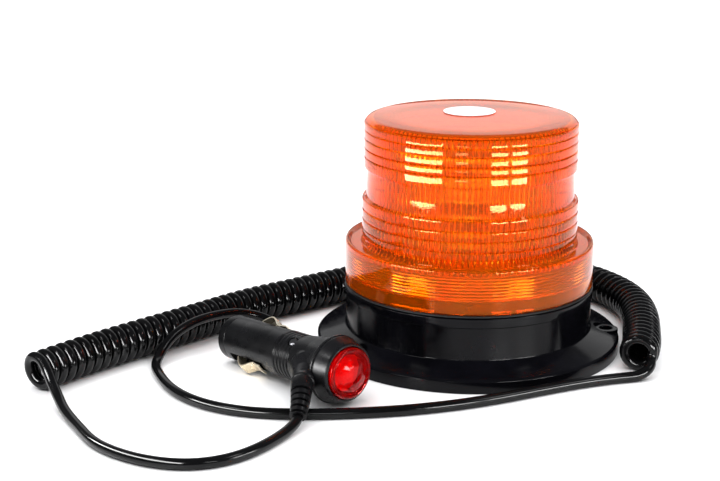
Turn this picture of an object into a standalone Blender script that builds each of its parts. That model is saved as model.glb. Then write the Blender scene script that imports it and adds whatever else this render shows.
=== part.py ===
"""Amber LED warning beacon with a magnetic base, a curly cord and a 12 V plug.

The origin is on the beacon's axis, on the surface it stands on, and +Z is up.
The plug and the cord lie beside the beacon on the same surface.
Lengths below are in millimetres; every helper turns them into metres.
"""
from math import cos, pi, radians, sin

import bpy
import numpy as np
from mathutils import Matrix, Vector

MM = 0.001
GAP = 0.3                      # clearance between pieces that touch
BIG_STEPS = 48                 # facets round the large turned pieces
MID_STEPS = 36
SMALL_STEPS = 24
PEG_STEPS = 16                 # facets round pins, holes and components

# ---- driving dimensions of the beacon -------------------------------------
FLANGE_R = 75.0
WALL_R = 60.9
COLLAR_R = 61.0
DOME_R = 51.8
TOTAL_H = 115.0
FLANGE_H = 5.8                 # height of the flange's upright rim
SKIRT_TOP_Z = 10.9             # where the sloping skirt meets the wall
DECK_Z = 31.4                  # top of the base's deck
DECK_THICK = 2.6
WALL_THICK = 2.6
SPIGOT_TOP_Z = 41.0
COLLAR_TOP_Z = 54.4
GASKET_THICK = 0.9
SPIGOT_R = COLLAR_R - 3.8      # upright ring that the lens turns on
GROOVE_R = SPIGOT_R - 2.0      # bottom of the ring's groove for the lens lugs
GROOVE_LOW_Z = 36.2
GROOVE_HIGH_Z = 39.2
LEDGE_Z = 52.8                 # lens: foot of the dome, inside the collar's rim
BAND_LOW_Z = 75.0              # lens: lower edge of the dome's plain band
BAND_HIGH_Z = 89.8

BOSS_R = 68.8                  # bosses' distance from the axis
BOSS_OD = 12.0
BOSS_HOLE_D = 6.2
BOSS_TOP_Z = 8.6
BOSS_AZIMUTHS = (0.0, 109.5, 219.0)            # 109.5 degrees apart, clear of the cord's notch

LABEL_AT = Vector((-1.0, 8.0, 0.0))            # the sticker is not quite in the middle of the top

LUG_AZIMUTHS = (60.0, 180.0, 300.0)
LUG_TURN = 25.0                # angle from a locked lug to its entry slot
LUG_WIDTH = 8.0

POST_R = 22.0                  # screw posts' distance from the axis
POST_AZIMUTHS = (30.0, 150.0, 270.0)
PAD_TOP_Z = 1.8
MAGNET_LOW_Z = 2.1
MAGNET_HIGH_Z = 8.2
YOKE_LOW_Z = 8.6
YOKE_HIGH_Z = 10.4

TOWER_FLATS = 38.0             # LED post, across its flats
TOWER_BOTTOM_Z = 38.2
TOWER_TOP_Z = 96.0
BOARD_THICK = 1.6
SPACER_H = 4.2                 # main board's height over the deck
COMPONENT_R = 35.5             # components' distance from the axis

# ---- driving dimensions of the cord and the plug --------------------------
CORD_D = 4.8
COIL_D = 18.8
STUB = 1.2                     # straight stretch at each end of a cord solid
EXIT_AZIMUTH = 208.0
EXIT_Z = 3.7
RELIEF_START_R = 55.5
RELIEF_END_R = 84.0
RELIEF_R = 3.1                 # strain relief's neck, in the base's notch

PLUG_TIP = Vector((-110.4, -37.2, 11.6))       # on the plug's axis, at the barrel's end
PLUG_NOSE = Vector((-51.8, -94.8, 16.2))       # on the axis, inside the button
BARREL_R = 10.7
HEAD_R = 15.6
HEAD_START = 73.5
HEAD_END = 74.6
BEZEL_END = 82.6
BUTTON_R = 11.6
BUTTON_START = 78.2
BUTTON_END = 87.0
HEAD_BORE_R = 12.2             # room for the button
BORE_R = 8.2
BARREL_START = 3.3             # where the housing meets the tip cap
CAP_REACH = 6.6                # how far the tip cap's spigot goes into the housing
SCREW_S = 50.5                 # housing screw's distance from the barrel's end
SCREW_ANGLE = 120.0
SCREW_FLOOR = 9.6              # bottom of the screw's recess, from the axis
ARM_ROOT = Vector((-5.0, -0.5, 62.5))
WINDOW = (7.0, 31.0)           # the contacts' windows, along the plug
WINDOW_WIDTH = 7.4
LEAF_WIDTH = 6.4
LEAF_THICK = 0.6
CONTACT_ANGLES = {"front": 222.0, "back": 42.0}

# Route of the straight lead from the beacon's strain relief to the coil.
BEACON_LEAD = [
    (-74.7, -39.7, 3.7), (-77.6, -41.2, 3.6), (-84.6, -41.0, 2.8), (-90.0, -35.2, 2.5), (-91.9, -27.0, 2.5),
    (-92.3, -18.5, 2.5), (-92.5, -10.5, 2.9), (-94.3, -3.2, 4.4), (-98.8, 1.2, 6.9), (-104.8, 2.0, 9.3),
    (-111.8, -0.8, 11.8), (-117.7, -5.6, 13.5), (-123.3, -11.8, 14.5), (-129.0, -18.8, 14.9),
    (-134.4, -25.2, 14.3), (-139.2, -31.7, 12.7), (-143.0, -37.0, 10.2), (-145.6, -41.8, 7.0),
    (-147.2, -47.0, 4.0), (-147.0, -54.0, 2.6), (-143.6, -64.5, 2.5), (-138.2, -76.0, 2.5),
    (-131.2, -87.0, 2.5), (-122.7, -96.0, 2.5), (-113.6, -102.5, 2.5), (-103.4, -107.0, 2.5),
    (-92.6, -109.6, 2.5), (-81.6, -110.4, 2.5), (-60.0, -109.0, 2.5), (-37.2, -105.0, 2.5),
    (-15.6, -98.6, 2.5), (6.3, -89.2, 2.5), (28.9, -76.4, 2.5), (52.3, -63.0, 2.5), (74.0, -53.8, 2.5),
    (80.0, -51.8, 2.9), (84.0, -49.6, 4.5), (86.0, -46.2, 6.5), (86.7, -42.7, 7.8),
]
# Centre line of the coil, from its right end round the back to its left end.
COIL_ROUTE = [
    (80.9, -40.2), (83.6, -26.0), (85.4, -10.0), (87.0, 8.0), (87.2, 24.0), (84.6, 42.0), (77.4, 60.0),
    (66.0, 76.5), (50.0, 90.0), (30.0, 99.0), (8.0, 101.5), (-14.0, 96.5), (-36.0, 85.0), (-56.0, 71.0),
    (-74.4, 55.4), (-89.2, 41.5), (-112.9, 19.4), (-134.4, -6.6), (-154.6, -31.2), (-174.6, -56.2),
    (-194.6, -85.2),
]
COIL_Z = 9.5
# Route of the straight lead from the coil's left end to the plug's boot.
PLUG_LEAD = [
    (-193.6, -86.5, 13.9), (-194.4, -88.7, 14.0), (-193.6, -91.6, 13.6), (-190.8, -94.2, 12.2),
    (-187.4, -96.9, 9.9), (-184.0, -100.3, 7.5), (-180.3, -105.6, 5.3), (-174.8, -115.0, 3.5),
    (-169.5, -123.4, 2.7), (-162.9, -133.6, 2.5), (-153.2, -147.6, 2.5), (-140.0, -158.6, 2.5),
    (-123.8, -165.6, 2.5), (-107.6, -166.2, 2.5), (-93.0, -158.6, 2.5), (-82.6, -145.6, 2.5),
    (-76.6, -134.2, 2.6), (-73.0, -126.2, 3.5), (-71.6, -120.7, 4.9),
]
# Centre line of the plug's ribbed boot, from the plug's side arm to the lead.
BOOT_ROUTE = [
    (-71.3, -104.4, 13.8), (-71.3, -106.2, 13.5), (-71.2, -110.2, 11.6), (-71.2, -115.2, 8.3),
    (-71.5, -120.0, 5.1),
]


def clear_scene():
    for item in list(bpy.data.objects):
        bpy.data.objects.remove(item, do_unlink=True)


def material(name, colour, roughness, metallic=0.0, alpha=1.0):
    finish = bpy.data.materials.new(name)
    finish.use_nodes = True
    shader = finish.node_tree.nodes["Principled BSDF"]
    shader.inputs["Base Color"].default_value = (*colour, 1.0)
    shader.inputs["Roughness"].default_value = roughness
    shader.inputs["Metallic"].default_value = metallic
    shader.inputs["Alpha"].default_value = alpha
    return finish


def linked(name, data, finish=None, parent=None):
    item = bpy.data.objects.new(name, data)
    bpy.context.scene.collection.objects.link(item)
    item.parent = parent
    if finish:
        data.materials.append(finish)
    return item


def cutter(item):
    item.hide_render = True
    item.display_type = "WIRE"
    return item


def turned(name, outline, steps, finish=None, parent=None):
    """Turn an outline of (radius, height) points, outer side first, about Z.

    An outline that starts and ends on the axis is left open, any other is closed.
    """
    points = [(r * MM, 0.0, z * MM) for r, z in outline]
    edges = [(i, i + 1) for i in range(len(points) - 1)]
    if outline[0][0] > 0 or outline[-1][0] > 0:
        edges.append((len(points) - 1, 0))
    mesh = bpy.data.meshes.new(name)
    mesh.from_pydata(points, edges, [])
    item = linked(name, mesh, finish, parent)
    screw = item.modifiers.new("turn", "SCREW")
    screw.axis = "Z"
    screw.steps = steps
    screw.render_steps = steps
    screw.use_merge_vertices = True
    screw.merge_threshold = 0.00001
    screw.use_smooth_shade = True
    return item


def prism(name, corners, bottom, top, finish=None, parent=None):
    """Extrude a counter-clockwise outline of (x, y) corners from bottom to top."""
    count = len(corners)
    points = [(x * MM, y * MM, z * MM) for z in (bottom, top) for x, y in corners]
    faces = [tuple(reversed(range(count))), tuple(range(count, 2 * count))]
    for i in range(count):
        j = (i + 1) % count
        faces.append((i, j, count + j, count + i))
    mesh = bpy.data.meshes.new(name)
    mesh.from_pydata(points, [], faces)
    return linked(name, mesh, finish, parent)


def block(name, size_x, size_y, bottom, top, finish=None, parent=None):
    x, y = size_x / 2, size_y / 2
    return prism(name, [(-x, -y), (x, -y), (x, y), (-x, y)], bottom, top, finish, parent)


def regular(count, radius):
    """Corners of a regular polygon."""
    return [(radius * cos(2 * pi * i / count), radius * sin(2 * pi * i / count)) for i in range(count)]


def disc(name, radius, bottom, top, steps, finish=None, parent=None):
    return prism(name, regular(steps, radius), bottom, top, finish, parent)


def combine(item, other, operation):
    boolean = item.modifiers.new(operation.lower(), "BOOLEAN")
    boolean.operation = operation
    boolean.solver = "EXACT"
    boolean.object = cutter(other)


def polar(radius, azimuth, z=0.0):
    angle = radians(azimuth)
    return Vector((radius * cos(angle), radius * sin(angle), z))


def place(item, position, azimuth=0.0):
    item.location = Vector(position) * MM
    item.rotation_euler = (0.0, 0.0, radians(azimuth))
    return item


def smooth_curve(points, spacing, stub=0.0):
    """Evenly spaced points on the natural cubic spline through the given points.

    A stub adds a point that far from each end, so that the end faces stand square to the route.
    """
    knots = np.array(points, float)
    steps = np.linalg.norm(np.diff(knots, axis=0), axis=1)
    at = np.concatenate(([0.0], np.cumsum(steps)))
    count = len(knots)
    system = np.eye(count)
    target = np.zeros_like(knots)
    for i in range(1, count - 1):
        system[i, i - 1:i + 2] = steps[i - 1], 2 * (steps[i - 1] + steps[i]), steps[i]
        target[i] = 6 * ((knots[i + 1] - knots[i]) / steps[i] - (knots[i] - knots[i - 1]) / steps[i - 1])
    bend = np.linalg.solve(system, target)
    dense = []
    for i, step in enumerate(steps):
        for u in np.linspace(0.0, step, 40, endpoint=(i == count - 2)):
            v = step - u
            dense.append((bend[i] * v ** 3 + bend[i + 1] * u ** 3) / (6 * step)
                         + (knots[i] / step - bend[i] * step / 6) * v
                         + (knots[i + 1] / step - bend[i + 1] * step / 6) * u)
    dense = np.array(dense)
    along = np.concatenate(([0.0], np.cumsum(np.linalg.norm(np.diff(dense, axis=0), axis=1))))
    even = np.linspace(0.0, along[-1], max(3, round(along[-1] / spacing) + 1))
    if stub:
        even = np.concatenate(([0.0, stub], even[1:-1], [along[-1] - stub, along[-1]]))
    return np.stack([np.interp(even, along, dense[:, k]) for k in range(3)], axis=1)


def tube(name, points, diameter, sides_level, finish, radii=None, parent=None):
    """Round tube along points; radii, where given, scale the diameter point by point."""
    curve = bpy.data.curves.new(name, "CURVE")
    curve.dimensions = "3D"
    curve.bevel_depth = diameter / 2 * MM
    curve.bevel_resolution = sides_level
    curve.use_fill_caps = True
    spline = curve.splines.new("POLY")
    spline.points.add(len(points) - 1)
    for i, point in enumerate(points):
        spline.points[i].co = (*(Vector(point) * MM), 1.0)
        spline.points[i].radius = radii[i] if radii else 1.0
    return linked(name, curve, finish, parent)


# ---------------------------------------------------------------- materials
def make_materials():
    return {
        "black": material("black_plastic", (0.012, 0.012, 0.014), 0.22),
        "satin": material("plug_plastic", (0.02, 0.02, 0.024), 0.38),
        "amber": material("amber_lens", (0.95, 0.22, 0.02), 0.12, alpha=0.6),
        "rubber": material("rubber", (0.015, 0.015, 0.016), 0.7),
        "cord": material("cord_jacket", (0.01, 0.01, 0.012), 0.3),
        "steel": material("zinc_steel", (0.6, 0.6, 0.62), 0.35, 1.0),
        "magnet": material("ferrite", (0.07, 0.07, 0.075), 0.6, 0.3),
        "aluminium": material("aluminium", (0.8, 0.8, 0.82), 0.4, 1.0),
        "board": material("circuit_board", (0.02, 0.25, 0.08), 0.5),
        "white": material("white_plastic", (0.85, 0.85, 0.83), 0.4),
        "dark": material("component_case", (0.03, 0.03, 0.05), 0.4),
        "nickel": material("nickel", (0.78, 0.72, 0.6), 0.3, 1.0),
        "red": material("red_lens", (0.8, 0.01, 0.01), 0.1, alpha=0.8),
        "glass": material("fuse_glass", (0.9, 0.92, 0.95), 0.05, alpha=0.4),
        "label": material("label_paper", (0.9, 0.88, 0.86), 0.5),
    }


# --------------------------------------------------------------- the beacon
def make_base_shell(finish):
    inner_r = WALL_R - WALL_THICK
    spigot_in = GROOVE_R - WALL_THICK
    rim_in = FLANGE_R - WALL_THICK
    deck_low = DECK_Z - DECK_THICK
    cable_hole_r = 9.0
    outline = [
        (SPIGOT_R, SPIGOT_TOP_Z), (SPIGOT_R, GROOVE_HIGH_Z), (GROOVE_R, GROOVE_HIGH_Z),
        (GROOVE_R, GROOVE_LOW_Z), (SPIGOT_R, GROOVE_LOW_Z), (SPIGOT_R, DECK_Z), (WALL_R, DECK_Z),
        (WALL_R + 0.4, DECK_Z - 0.4), (WALL_R + 0.4, 26.9), (WALL_R - 0.4, 26.5),
        (WALL_R, SKIRT_TOP_Z), (FLANGE_R - 1.1, FLANGE_H + 0.9), (FLANGE_R, FLANGE_H),
        (FLANGE_R, 0.0), (rim_in, 0.0), (rim_in, FLANGE_H - 1.4), (WALL_R, SKIRT_TOP_Z - 2.8),
        (WALL_R, 0.0), (inner_r, 0.0), (inner_r, deck_low), (cable_hole_r, deck_low),
        (cable_hole_r, DECK_Z), (spigot_in, DECK_Z), (spigot_in, SPIGOT_TOP_Z),
    ]
    shell = turned("base_shell", outline, BIG_STEPS, finish)
    for i, azimuth in enumerate(BOSS_AZIMUTHS):
        boss = disc(f"cut_boss_{i}", BOSS_OD / 2, 0.0, BOSS_TOP_Z + 3.0, SMALL_STEPS)
        combine(shell, place(boss, polar(BOSS_R, azimuth)), "UNION")
        spot_face = disc(f"cut_face_{i}", BOSS_OD / 2 + GAP, BOSS_TOP_Z, BOSS_TOP_Z + 8.0, SMALL_STEPS)
        combine(shell, place(spot_face, polar(BOSS_R, azimuth)), "DIFFERENCE")
    for i, azimuth in enumerate(POST_AZIMUTHS):
        post = disc(f"cut_post_{i}", 3.8, YOKE_HIGH_Z + 0.6, DECK_Z - 1.0, 12)
        combine(shell, place(post, polar(POST_R, azimuth)), "UNION")
    for i, azimuth in enumerate(BOSS_AZIMUTHS):
        hole = disc(f"cut_hole_{i}", BOSS_HOLE_D / 2, -1.0, BOSS_TOP_Z + 1.0, PEG_STEPS)
        combine(shell, place(hole, polar(BOSS_R, azimuth)), "DIFFERENCE")
    for i, azimuth in enumerate(POST_AZIMUTHS):
        hole = disc(f"cut_thread_{i}", 1.8, 10.0, 25.0, 12)
        combine(shell, place(hole, polar(POST_R, azimuth)), "DIFFERENCE")
    for i, azimuth in enumerate(LUG_AZIMUTHS):
        slot = block(f"cut_slot_{i}", 4.0, LUG_WIDTH + 1.0, GROOVE_LOW_Z + 0.8, SPIGOT_TOP_Z + 1.0)
        slot_azimuth = azimuth + LUG_TURN
        combine(shell, place(slot, polar(SPIGOT_R, slot_azimuth), slot_azimuth), "DIFFERENCE")
    half_notch = RELIEF_R + GAP
    notch = block("cut_notch", 24.0, 2 * half_notch, -1.0, EXIT_Z + half_notch)
    notch_at = (WALL_R + FLANGE_R) / 2
    combine(shell, place(notch, polar(notch_at, EXIT_AZIMUTH), EXIT_AZIMUTH), "DIFFERENCE")


def make_lens(finish):
    collar_in = COLLAR_R - 2.8
    bottom = DECK_Z + 2 * GAP + GASKET_THICK
    ceiling = LEDGE_Z - 2.2
    outer = [
        (0.0, TOTAL_H), (47.6, TOTAL_H - 0.4), (50.4, TOTAL_H - 1.3), (DOME_R, TOTAL_H - 3.0),
        (DOME_R, BAND_HIGH_Z), (DOME_R - 1.3, BAND_HIGH_Z - 0.8), (DOME_R - 1.3, BAND_LOW_Z + 0.8),
        (DOME_R + 0.6, BAND_LOW_Z), (DOME_R + 1.1, LEDGE_Z + 3.4), (DOME_R + 1.9, LEDGE_Z),
        (COLLAR_R - 2.4, LEDGE_Z), (COLLAR_R - 1.8, COLLAR_TOP_Z), (COLLAR_R - 0.6, COLLAR_TOP_Z),
        (COLLAR_R, COLLAR_TOP_Z - 0.8), (COLLAR_R, bottom + 0.5), (COLLAR_R - 0.5, bottom),
    ]
    inner = [
        (collar_in, bottom), (collar_in, ceiling), (DOME_R - 1.2, ceiling), (DOME_R - 2.0, BAND_LOW_Z),
        (DOME_R - 3.6, BAND_LOW_Z + 1.4), (DOME_R - 3.6, BAND_HIGH_Z - 1.2), (DOME_R - 2.4, BAND_HIGH_Z + 0.4),
        (DOME_R - 2.4, TOTAL_H - 4.4), (DOME_R - 4.4, TOTAL_H - 2.6), (0.0, TOTAL_H - 2.4),
    ]
    lens = turned("dome_lens", outer + inner, BIG_STEPS, finish)
    for i, azimuth in enumerate(LUG_AZIMUTHS):
        lug = block(f"cut_lug_{i}", 3.4, LUG_WIDTH, GROOVE_LOW_Z + 0.5, GROOVE_HIGH_Z - 0.5)
        combine(lens, place(lug, polar(collar_in - 0.7, azimuth), azimuth), "UNION")


def make_gasket_and_label(finishes):
    bottom = DECK_Z + GAP
    top = bottom + GASKET_THICK
    inner_r = SPIGOT_R + 0.6
    outer_r = COLLAR_R + 0.2
    turned("lens_gasket", [(outer_r, top), (outer_r, bottom), (inner_r, bottom), (inner_r, top)], BIG_STEPS,
           finishes["rubber"])
    label = disc("top_label", 12.8, TOTAL_H + GAP, TOTAL_H + GAP + 0.3, 32, finishes["label"])
    label.location = LABEL_AT * MM


def make_underside(finishes):
    disc("rubber_pad", RELIEF_START_R - 1.0, 0.0, PAD_TOP_Z, MID_STEPS, finishes["rubber"])
    outer_r, inner_r = 54.0, 30.0
    turned("magnet_ring", [(outer_r, MAGNET_HIGH_Z), (outer_r, MAGNET_LOW_Z), (inner_r, MAGNET_LOW_Z),
                           (inner_r, MAGNET_HIGH_Z)], MID_STEPS, finishes["magnet"])
    yoke = disc("magnet_yoke", WALL_R - WALL_THICK - 0.9, YOKE_LOW_Z, YOKE_HIGH_Z, MID_STEPS, finishes["steel"])
    head_z = YOKE_LOW_Z - GAP
    screw_outline = [(0.0, 20.0), (1.45, 20.0), (1.45, head_z), (3.1, head_z), (3.1, head_z - 1.6),
                     (2.2, head_z - 2.3), (0.0, head_z - 2.3)]
    for i, azimuth in enumerate(POST_AZIMUTHS):
        hole = disc(f"cut_yoke_{i}", 1.9, YOKE_LOW_Z - 1.0, YOKE_HIGH_Z + 1.0, 12)
        combine(yoke, place(hole, polar(POST_R, azimuth)), "DIFFERENCE")
        screw = turned(f"yoke_screw_{i + 1}", screw_outline, 12, finishes["steel"])
        place(screw, polar(POST_R, azimuth))


def make_electronics(finishes):
    board_low = DECK_Z + SPACER_H
    board_high = board_low + BOARD_THICK
    outer_r, inner_r = 46.0, 5.0
    turned("main_board", [(outer_r, board_high), (outer_r, board_low), (inner_r, board_low),
                          (inner_r, board_high)], MID_STEPS, finishes["board"])
    for i, azimuth in enumerate(POST_AZIMUTHS):
        spacer = disc(f"board_spacer_{i + 1}", 3.0, DECK_Z + GAP, board_low - GAP, 12, finishes["white"])
        place(spacer, polar(40.0, azimuth))
    floor = board_high + GAP
    sizes = {"capacitor_1": (5.0, 13.0, 12.0), "capacitor_2": (5.0, 13.0, 72.0), "inductor": (6.0, 7.0, 132.0)}
    for name, (radius, height, azimuth) in sizes.items():
        case = disc(name, radius, floor, floor + height, PEG_STEPS, finishes["dark"])
        place(case, polar(COMPONENT_R, azimuth))
    terminal = block("terminal_block", 8.0, 16.0, floor, floor + 9.0, finishes["dark"])
    place(terminal, polar(COMPONENT_R, EXIT_AZIMUTH), EXIT_AZIMUTH)


def make_led_tower(finishes):
    corner_r = TOWER_FLATS / 2 / cos(pi / 6)
    prism("led_tower", regular(6, corner_r), TOWER_BOTTOM_Z, TOWER_TOP_Z, finishes["aluminium"])
    board_at = TOWER_FLATS / 2 + GAP + BOARD_THICK / 2
    for i in range(6):
        azimuth = 30.0 + 60.0 * i
        board = block(f"led_board_{i + 1}", BOARD_THICK, 18.0, TOWER_BOTTOM_Z + 2.0, TOWER_TOP_Z - 2.0,
                      finishes["board"])
        place(board, polar(board_at, azimuth), azimuth)
    top = TOWER_TOP_Z + GAP
    disc("top_board", 20.0, top, top + BOARD_THICK, MID_STEPS, finishes["board"])
    cap_bottom = top + BOARD_THICK + GAP
    turned("tower_screw", [(0.0, cap_bottom + 2.2), (2.4, cap_bottom + 2.2), (3.2, cap_bottom + 1.4),
                           (3.2, cap_bottom), (0.0, cap_bottom)], PEG_STEPS, finishes["steel"])


def make_strain_relief(finish):
    length = RELIEF_END_R - RELIEF_START_R
    shoulder = FLANGE_R - RELIEF_START_R
    relief = turned("cable_relief", [(0.0, length), (2.9, length), (3.4, shoulder + 4.5), (3.4, shoulder + GAP),
                                     (RELIEF_R, shoulder), (RELIEF_R, 2.4), (3.5, 2.0), (3.5, 0.0), (0.0, 0.0)],
                    PEG_STEPS, finish)
    relief.location = polar(RELIEF_START_R, EXIT_AZIMUTH, EXIT_Z) * MM
    relief.rotation_euler = (0.0, pi / 2, radians(EXIT_AZIMUTH))


# ----------------------------------------------------------------- the plug
def make_plug_frame():
    """Empty at the barrel's end: local Z runs along the plug, local Y is up."""
    along = (PLUG_NOSE - PLUG_TIP).normalized()
    across = along.cross(Vector((0.0, 0.0, -1.0))).normalized()
    upward = along.cross(across)
    if upward.z < 0:
        across, upward = -across, -upward
    frame = bpy.data.objects.new("plug_frame", None)
    bpy.context.scene.collection.objects.link(frame)
    turn = Matrix((across, upward, along)).transposed()
    frame.matrix_world = Matrix.Translation(PLUG_TIP * MM) @ turn.to_4x4()
    return frame


def place_radially(item, radius):
    """Put a piece of the housing's screw at its place, local Z pointing out of the plug."""
    item.location = polar(radius, SCREW_ANGLE, SCREW_S) * MM
    item.rotation_euler = (0.0, pi / 2, radians(SCREW_ANGLE))


def make_plug_housing(finish, frame):
    outline = [
        (HEAD_R, HEAD_END + 0.5), (HEAD_R, HEAD_START), (14.4, HEAD_START - 1.6), (12.4, 63.0), (11.6, 56.0),
        (11.3, 53.4), (10.9, 52.8), (10.9, 42.6), (11.1, 42.0), (BARREL_R, 32.0),
        (BARREL_R, BARREL_START), (BORE_R, BARREL_START), (BORE_R, 58.0), (10.2, 62.0), (HEAD_BORE_R, 70.0),
        (HEAD_BORE_R, HEAD_END + 0.5),
    ]
    housing = turned("plug_housing", outline, SMALL_STEPS, finish, frame)
    bpy.context.view_layer.update()
    inner = frame.matrix_world.inverted() @ (Vector(BOOT_ROUTE[0]) * MM) / MM
    run = inner - ARM_ROOT
    length = run.length - 1.0
    arm = turned("cut_arm", [(0.0, length), (4.6, length), (5.2, length - 1.2), (7.6, 0.0), (0.0, 0.0)],
                 PEG_STEPS, None, frame)
    arm.location = ARM_ROOT * MM
    arm.rotation_euler = run.to_track_quat("Z", "Y").to_euler()
    combine(housing, arm, "UNION")
    wide_r, cut_r = HEAD_R + 0.3, HEAD_BORE_R - 0.1
    bore = turned("cut_bore", [(0.0, 90.0), (wide_r, 90.0), (wide_r, HEAD_END), (cut_r, HEAD_END),
                               (cut_r, 71.0), (9.0, 68.0), (BORE_R, 50.0), (0.0, 50.0)],
                  SMALL_STEPS, None, frame)
    combine(housing, bore, "DIFFERENCE")
    for i, angle in enumerate(CONTACT_ANGLES.values()):
        window = block(f"cut_window_{i}", 6.0, WINDOW_WIDTH, *WINDOW, None, frame)
        combine(housing, place(window, polar(10.2, angle), angle), "DIFFERENCE")
    recess = disc("cut_recess", 2.6, 0.0, 6.0, PEG_STEPS, None, frame)
    place_radially(recess, SCREW_FLOOR)
    combine(housing, recess, "DIFFERENCE")


def make_plug_pieces(finishes, frame):
    shoulder = BARREL_START - GAP
    cap_r = BARREL_R - 0.1
    spigot_r = BORE_R - GAP
    turned("plug_tip_cap", [(9.4, shoulder), (cap_r, shoulder), (cap_r, -1.2), (9.4, -2.6), (3.6, -2.6),
                            (3.6, 0.0), (5.4, 0.4), (5.4, CAP_REACH), (spigot_r, CAP_REACH), (spigot_r, shoulder)],
           SMALL_STEPS, finishes["satin"], frame)
    outer_r, inner_r = HEAD_R - 0.4, BUTTON_R + 0.5
    turned("plug_bezel", [(12.6, BEZEL_END), (outer_r, HEAD_END + 1.0), (outer_r, HEAD_END + GAP),
                          (inner_r, HEAD_END + GAP), (inner_r, BEZEL_END)],
           SMALL_STEPS, finishes["satin"], frame)
    screw = turned("plug_screw", [(0.0, 1.3), (1.6, 1.3), (2.2, 0.7), (2.2, 0.0), (0.0, 0.0)], 12,
                   finishes["steel"], frame)
    place_radially(screw, SCREW_FLOOR + GAP)
    disc("switch_core", 7.6, 62.0, 79.0, PEG_STEPS, finishes["white"], frame)
    disc("fuse", 3.0, 18.0, 44.0, PEG_STEPS, finishes["glass"], frame)
    disc("pin_spring", 2.0, 1.6, 17.6, 12, finishes["steel"], frame)
    turned("tip_contact", [(0.0, -1.8), (2.3, -1.8), (2.3, 3.0), (4.6, 3.0), (4.6, 1.0), (3.2, 0.6),
                           (3.2, -3.6), (2.2, -4.8), (0.0, -5.2)], PEG_STEPS, finishes["nickel"], frame)
    top = BUTTON_END
    turned("switch_button", [(0.0, top), (5.0, top - 0.3), (8.6, top - 1.3), (10.8, top - 2.7),
                             (BUTTON_R, top - 3.6), (BUTTON_R, BUTTON_START), (9.6, BUTTON_START),
                             (9.6, top - 5.0), (7.0, top - 3.4), (0.0, top - 2.6)],
           SMALL_STEPS, finishes["red"], frame)


def make_contact(side, angle, finish, frame):
    """Bowed leaf from a flat foot over its crown to a turned-up heel."""
    foot, crown, heel = 7.4, 14.6, 11.4
    start, middle, end = 11.0, 18.5, 25.5
    bow = [(7.5, foot - 0.8), (9.5, foot - 0.4)]
    for i in range(5):
        t = i / 4
        bow.append((start + (middle - start) * t, foot + (crown - foot) * sin(pi / 2 * t)))
    for i in range(1, 5):
        t = i / 4
        bow.append((middle + (end - middle) * t, heel + (crown - heel) * (1 + cos(pi * t)) / 2))
    bow += [(28.0, heel + 0.5), (30.5, heel + 0.6)]
    outer = [(r, s) for s, r in bow]
    inner = [(r - LEAF_THICK, s) for s, r in reversed(bow)]
    section = outer + inner
    count = len(section)
    half = LEAF_WIDTH / 2 * MM
    points = [(r * MM, y, s * MM) for y in (-half, half) for r, s in section]
    faces = [tuple(range(count)), tuple(reversed(range(count, 2 * count)))]
    for i in range(count):
        j = (i + 1) % count
        faces.append((j, i, count + i, count + j))
    mesh = bpy.data.meshes.new(f"contact_spring_{side}")
    mesh.from_pydata(points, [], faces)
    leaf = linked(f"contact_spring_{side}", mesh, finish, frame)
    leaf.rotation_euler = (0.0, 0.0, radians(angle))


def make_plug(finishes):
    frame = make_plug_frame()
    make_plug_housing(finishes["satin"], frame)
    make_plug_pieces(finishes, frame)
    for side, angle in CONTACT_ANGLES.items():
        make_contact(side, angle, finishes["nickel"], frame)
    boot = smooth_curve(BOOT_ROUTE, 1.7)
    last = len(boot) - 1
    radii = [(1.0 - 0.22 * i / last) * (1.0 if i % 2 == 0 else 0.86) for i in range(last + 1)]
    tube("plug_boot", boot, 8.6, 3, finishes["satin"], radii)


# ----------------------------------------------------------------- the cord
def make_cord(finish):
    for name, route in (("cord_beacon_lead", BEACON_LEAD), ("cord_plug_lead", PLUG_LEAD)):
        tube(name, smooth_curve(route, 2.4 * CORD_D, STUB), CORD_D, 2, finish)
    coil = [(x, y, COIL_Z) for x, y in COIL_ROUTE]
    tube("cord_coil", smooth_curve(coil, 0.7 * COIL_D, STUB), COIL_D, 4, finish)


def main():
    clear_scene()
    finishes = make_materials()
    make_base_shell(finishes["black"])
    make_lens(finishes["amber"])
    make_gasket_and_label(finishes)
    make_underside(finishes)
    make_electronics(finishes)
    make_led_tower(finishes)
    make_strain_relief(finishes["rubber"])
    make_plug(finishes)
    make_cord(finishes["cord"])


main()
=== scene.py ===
"""Looks of an amber LED warning beacon with a curly cord and a 12 V plug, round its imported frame.

Sizes are in millimetres until a helper turns them into metres. The origin is on the beacon's axis,
on the surface it stands on, with +Z up, as in the frame.
"""

from math import cos, pi, radians, sin, tan

import bpy
import numpy as np
from mathutils import Matrix, Vector


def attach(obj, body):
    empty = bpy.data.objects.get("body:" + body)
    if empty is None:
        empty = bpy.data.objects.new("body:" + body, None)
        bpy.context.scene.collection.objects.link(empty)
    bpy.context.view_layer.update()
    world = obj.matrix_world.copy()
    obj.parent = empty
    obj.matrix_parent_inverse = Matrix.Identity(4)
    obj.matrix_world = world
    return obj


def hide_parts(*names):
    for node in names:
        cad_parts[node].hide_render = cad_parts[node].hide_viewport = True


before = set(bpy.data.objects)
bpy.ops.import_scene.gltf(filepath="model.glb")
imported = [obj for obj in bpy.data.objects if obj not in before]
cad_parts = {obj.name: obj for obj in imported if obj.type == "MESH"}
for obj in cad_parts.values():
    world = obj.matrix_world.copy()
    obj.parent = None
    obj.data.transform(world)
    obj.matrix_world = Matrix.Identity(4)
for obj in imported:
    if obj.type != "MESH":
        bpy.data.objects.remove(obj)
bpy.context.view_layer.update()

MM = 0.001
UP = np.array((0.0, 0.0, 1.0))
FILLET_SHARE = 0.49            # most of an edge that one fillet may take
SPLINE_SAMPLES = 12            # samples between two knots of a curve
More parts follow.
